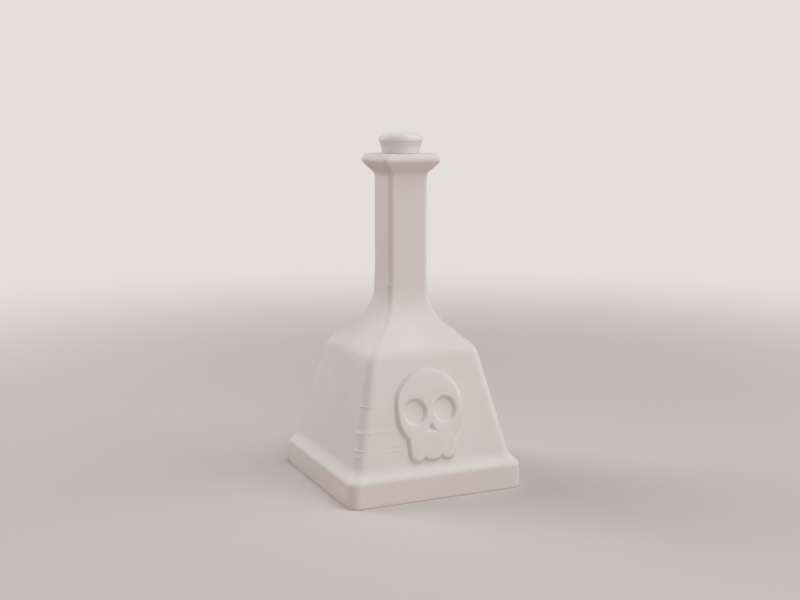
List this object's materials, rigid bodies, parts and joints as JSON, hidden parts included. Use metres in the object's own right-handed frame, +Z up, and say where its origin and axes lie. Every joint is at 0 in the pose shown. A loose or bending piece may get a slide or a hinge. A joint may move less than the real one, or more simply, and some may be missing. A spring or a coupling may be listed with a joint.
{
  "type": "poison bottle",
  "caption": "Square tapering bottle on a stepped plinth, with a slim square neck, flared lip, skull in low relief and a mushroom-headed stopper that lifts out",
  "frame": {"origin": "middle of the flat underside of the base", "axes": "+Z up along the bottle's axis, -Y towards the face with the skull, +X to the right of someone facing the skull"},
  "size_m": [0.08, 0.08, 0.15],
  "materials": {
    "bottle_plastic": "matte warm white with faint print layers",
    "stopper_plastic": "matte warm white with faint print layers",
    "seal_rubber": "smooth dark rubber"
  },
  "bodies": {
    "bottle": {"bottle_body": "bottle_plastic"},
    "seal_rings": {"upper_seal_ring": "seal_rubber", "lower_seal_ring": "seal_rubber"},
    "stopper": {"stopper": "stopper_plastic"}
  },
  "joints": [
    {"name": "stopper_lift", "type": "slide", "parent": "bottle", "child": "seal_rings", "axis": [0, 0, 1], "range_m": [0, 0.035]},
    {"name": "stopper_turn", "type": "hinge", "parent": "seal_rings", "child": "stopper", "pos_m": [0, 0, 0.1412], "axis": [0, 0, 1], "continuous": true}
  ]
}
